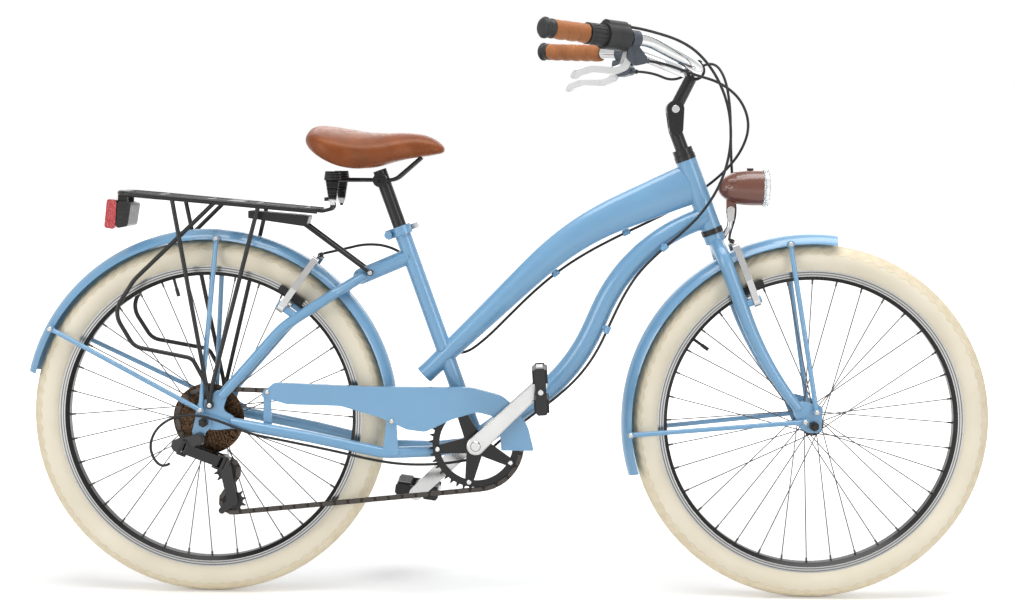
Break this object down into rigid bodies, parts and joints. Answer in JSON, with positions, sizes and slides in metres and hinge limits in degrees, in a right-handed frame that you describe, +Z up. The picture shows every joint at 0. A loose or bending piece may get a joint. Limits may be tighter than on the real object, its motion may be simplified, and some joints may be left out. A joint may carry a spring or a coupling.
{
  "type": "beach cruiser bicycle",
  "caption": "Step-through beach cruiser bicycle with swept handlebar, fenders, rear rack, chain guard, rear derailleur and rim brakes; wheels, cranks and steering turn.",
  "frame": {"origin": "centre of the bounding box's floor, on the ground between the wheels", "axes": "+X forward along the bicycle, +Y to the rider's left, +Z up"},
  "size_m": [1.7934, 0.6702, 1.055],
  "materials": {
    "blue_paint": "gloss light blue paint",
    "black_paint": "satin black paint",
    "bright_steel": "bright steel",
    "chrome": "polished chrome",
    "silver_alloy": "polished aluminium",
    "bronze_steel": "dark bronze steel",
    "cream_tyre": "cream rubber",
    "black_rubber": "black rubber",
    "brown_leather": "brown leather",
    "black_plastic": "matt black plastic",
    "red_lens": "red lens",
    "brown_paint": "brown paint",
    "clear_glass": "clear glass"
  },
  "bodies": {
    "frame": {"head_tube": "blue_paint", "top_tube": "blue_paint", "down_tube": "blue_paint", "seat_tube": "blue_paint", "chain_stays": "blue_paint", "seat_stays": "blue_paint", "bearing_cups": "black_paint", "rear_fender": "blue_paint", "rear_fender_stays": "blue_paint", "rack_platform": "black_paint", "rack_legs": "black_paint", "tail_light": "red_lens", "chain_guard": "blue_paint", "rear_axle_and_bolts": "bright_steel", "derailleur_body": "bright_steel", "frame_cables": "black_rubber", "chain": "bronze_steel"},
    "seat_lever": {"seat_clamp_lever": "silver_alloy"},
    "seat": {"seatpost": "black_paint", "saddle_rails": "black_paint", "saddle_cover": "brown_leather"},
    "steering": {"fork": "blue_paint", "stem_quill": "black_paint", "front_fender": "blue_paint", "front_fender_stays": "blue_paint", "front_axle_and_bolts": "bright_steel", "headlight_bracket": "black_paint"},
    "bar": {"stem_arm": "black_paint", "handlebar": "chrome", "grips": "brown_leather", "lever_brackets": "black_plastic", "bar_cables": "black_rubber"},
    "shift_ring": {"twist_grip": "black_plastic"},
    "lever_right": {"brake_lever_right": "silver_alloy"},
    "lever_left": {"brake_lever_left": "silver_alloy"},
    "lamp": {"headlight_shell": "brown_paint", "headlight_lens": "clear_glass"},
    "lamp_button": {"headlight_button": "black_plastic"},
    "front_wheel": {"front_tyre": "cream_tyre", "front_rim": "black_paint", "front_spokes": "bright_steel", "front_hub": "silver_alloy"},
    "rear_wheel": {"rear_tyre": "cream_tyre", "rear_rim": "black_paint", "rear_spokes": "bright_steel", "rear_hub": "silver_alloy"},
    "sprockets": {"freewheel": "bronze_steel"},
    "cranks": {"crank_set": "silver_alloy", "chainring": "black_paint"},
    "right_pedal": {"pedal_right": "black_plastic"},
    "left_pedal": {"pedal_left": "black_plastic"},
    "derailleur_arm": {"derailleur_link": "bright_steel"},
    "derailleur_carrier": {"derailleur_knuckle": "bright_steel"},
    "cage": {"derailleur_cage": "bright_steel"},
    "upper_pulley": {"guide_pulley": "black_plastic"},
    "lower_pulley": {"tension_pulley": "black_plastic"},
    "rear_arm_left": {"rear_brake_arm_left": "silver_alloy"},
    "rear_arm_right": {"rear_brake_arm_right": "silver_alloy"},
    "front_arm_left": {"front_brake_arm_left": "silver_alloy"},
    "front_arm_right": {"front_brake_arm_right": "silver_alloy"}
  },
  "joints": [
    {"name": "steering_turn", "type": "hinge", "parent": "frame", "child": "steering", "pos_m": [0.35153, 0, 0.75358], "axis": [-0.3584, 0, 0.9336], "range_deg": [-50, 50], "deforming": ["frame_cables", "bar_cables"]},
    {"name": "stem_tilt", "type": "hinge", "parent": "steering", "child": "bar", "pos_m": [0.30525, 0, 0.91041], "axis": [0, 1, 0], "range_deg": [-12, 12], "deforming": ["frame_cables", "bar_cables"]},
    {"name": "front_wheel_spin", "type": "hinge", "parent": "steering", "child": "front_wheel", "pos_m": [0.56477, 0, 0.332], "axis": [0, 1, 0], "continuous": true},
    {"name": "rear_wheel_spin", "type": "hinge", "parent": "frame", "child": "rear_wheel", "pos_m": [-0.55523, 0, 0.332], "axis": [0, 1, 0], "continuous": true},
    {"name": "crank_turn", "type": "hinge", "parent": "frame", "child": "cranks", "pos_m": [-0.05621, 0, 0.291], "axis": [0, 1, 0], "continuous": true, "deforming": ["chain"]},
    {"name": "sprocket_turn", "type": "hinge", "parent": "frame", "child": "sprockets", "pos_m": [-0.55523, 0, 0.332], "axis": [0, 1, 0], "continuous": true, "deforming": ["chain"]},
    {"name": "right_pedal_turn", "type": "hinge", "parent": "cranks", "child": "right_pedal", "pos_m": [0.06248, 0, 0.40562], "axis": [0, 1, 0], "continuous": true},
    {"name": "left_pedal_turn", "type": "hinge", "parent": "cranks", "child": "left_pedal", "pos_m": [-0.1749, 0, 0.17638], "axis": [0, 1, 0], "continuous": true},
    {"name": "twist_shift", "type": "hinge", "parent": "bar", "child": "shift_ring", "pos_m": [0.1486, -0.25267, 1.02837], "axis": [-0.7912, -0.6093, 0.0523], "range_deg": [0, 126]},
    {"name": "derailleur_swing", "type": "hinge", "parent": "frame", "child": "derailleur_arm", "pos_m": [-0.58723, -0.087, 0.284], "axis": [-0.4338, 0, -0.901], "range_deg": [0, 21], "deforming": ["chain", "frame_cables"]},
    {"name": "carrier_swing", "type": "hinge", "parent": "derailleur_arm", "child": "derailleur_carrier", "pos_m": [-0.53323, -0.064, 0.258], "axis": [0.4338, 0, 0.901], "range_deg": [0, 21], "deforming": ["chain", "frame_cables"]},
    {"name": "cage_swing", "type": "hinge", "parent": "derailleur_carrier", "child": "cage", "pos_m": [-0.52523, -0.0415, 0.254], "axis": [0, 1, 0], "range_deg": [0, 35], "stiffness_Nm_per_rad": 0.4, "springref_deg": -11.46, "deforming": ["chain"]},
    {"name": "guide_pulley_turn", "type": "hinge", "parent": "cage", "child": "upper_pulley", "pos_m": [-0.52123, -0.034, 0.234], "axis": [0, 1, 0], "continuous": true, "deforming": ["chain"]},
    {"name": "tension_pulley_turn", "type": "hinge", "parent": "cage", "child": "lower_pulley", "pos_m": [-0.51007, -0.034, 0.1781], "axis": [0, 1, 0], "continuous": true, "deforming": ["chain"]},
    {"name": "seatpost_slide", "type": "slide", "parent": "frame", "child": "seat", "axis": [-0.342, 0, 0.9397], "range_m": [-0.03, 0.1]},
    {"name": "seat_lever_open", "type": "hinge", "parent": "frame", "child": "seat_lever", "pos_m": [-0.22203, 0.0133, 0.67494], "axis": [-0.342, 0, 0.9397], "range_deg": [0, 150]},
    {"name": "lamp_tilt", "type": "hinge", "parent": "steering", "child": "lamp", "pos_m": [0.41074, 0, 0.72603], "axis": [0, 1, 0], "range_deg": [-10, 20]},
    {"name": "lamp_button_press", "type": "slide", "parent": "lamp", "child": "lamp_button", "axis": [0, 0, -1], "range_m": [0, 0.0012], "stiffness_N_per_m": 600, "springref_m": -0.0005},
    {"name": "right_lever_squeeze", "type": "hinge", "parent": "bar", "child": "lever_right", "pos_m": [0.20801, -0.20692, 0.99741], "axis": [-0.6101, 0.7923, 0], "range_deg": [0, 18], "stiffness_Nm_per_rad": 1.2, "springref_deg": -5.73},
    {"name": "left_lever_squeeze", "type": "hinge", "parent": "bar", "child": "lever_left", "pos_m": [0.20801, 0.20692, 0.99741], "axis": [0.6101, 0.7923, 0], "range_deg": [0, 18], "stiffness_Nm_per_rad": 1.2, "springref_deg": -5.73},
    {"name": "rear_arm_right_swing", "type": "hinge", "parent": "frame", "child": "rear_arm_right", "pos_m": [-0.40954, -0.05, 0.54007], "axis": [-0.8192, 0, 0.5736], "range_deg": [0, 2.7], "deforming": ["frame_cables"]},
    {"name": "rear_arm_left_swing", "type": "hinge", "parent": "frame", "child": "rear_arm_left", "pos_m": [-0.40954, 0.05, 0.54007], "axis": [0.8192, 0, -0.5736], "range_deg": [0, 2.7], "deforming": ["frame_cables"]},
    {"name": "front_arm_right_swing", "type": "hinge", "parent": "steering", "child": "front_arm_right", "pos_m": [0.42894, -0.049, 0.55193], "axis": [-0.9336, 0, -0.3584], "range_deg": [0, 2.7], "deforming": ["bar_cables"]},
    {"name": "front_arm_left_swing", "type": "hinge", "parent": "steering", "child": "front_arm_left", "pos_m": [0.42894, 0.049, 0.55193], "axis": [0.9336, 0, 0.3584], "range_deg": [0, 2.7], "deforming": ["bar_cables"]}
  ],
  "couplings": [
    {"joint": "sprocket_turn", "follows": "crank_turn", "ratio": 1.5},
    {"joint": "guide_pulley_turn", "follows": "crank_turn", "ratio": -3.8182},
    {"joint": "tension_pulley_turn", "follows": "crank_turn", "ratio": 3.8182},
    {"joint": "derailleur_swing", "follows": "twist_shift", "ratio": 0.16667},
    {"joint": "carrier_swing", "follows": "twist_shift", "ratio": 0.16667},
    {"joint": "rear_arm_right_swing", "follows": "right_lever_squeeze", "ratio": 0.15},
    {"joint": "rear_arm_left_swing", "follows": "right_lever_squeeze", "ratio": 0.15},
    {"joint": "front_arm_right_swing", "follows": "left_lever_squeeze", "ratio": 0.15},
    {"joint": "front_arm_left_swing", "follows": "left_lever_squeeze", "ratio": 0.15}
  ]
}
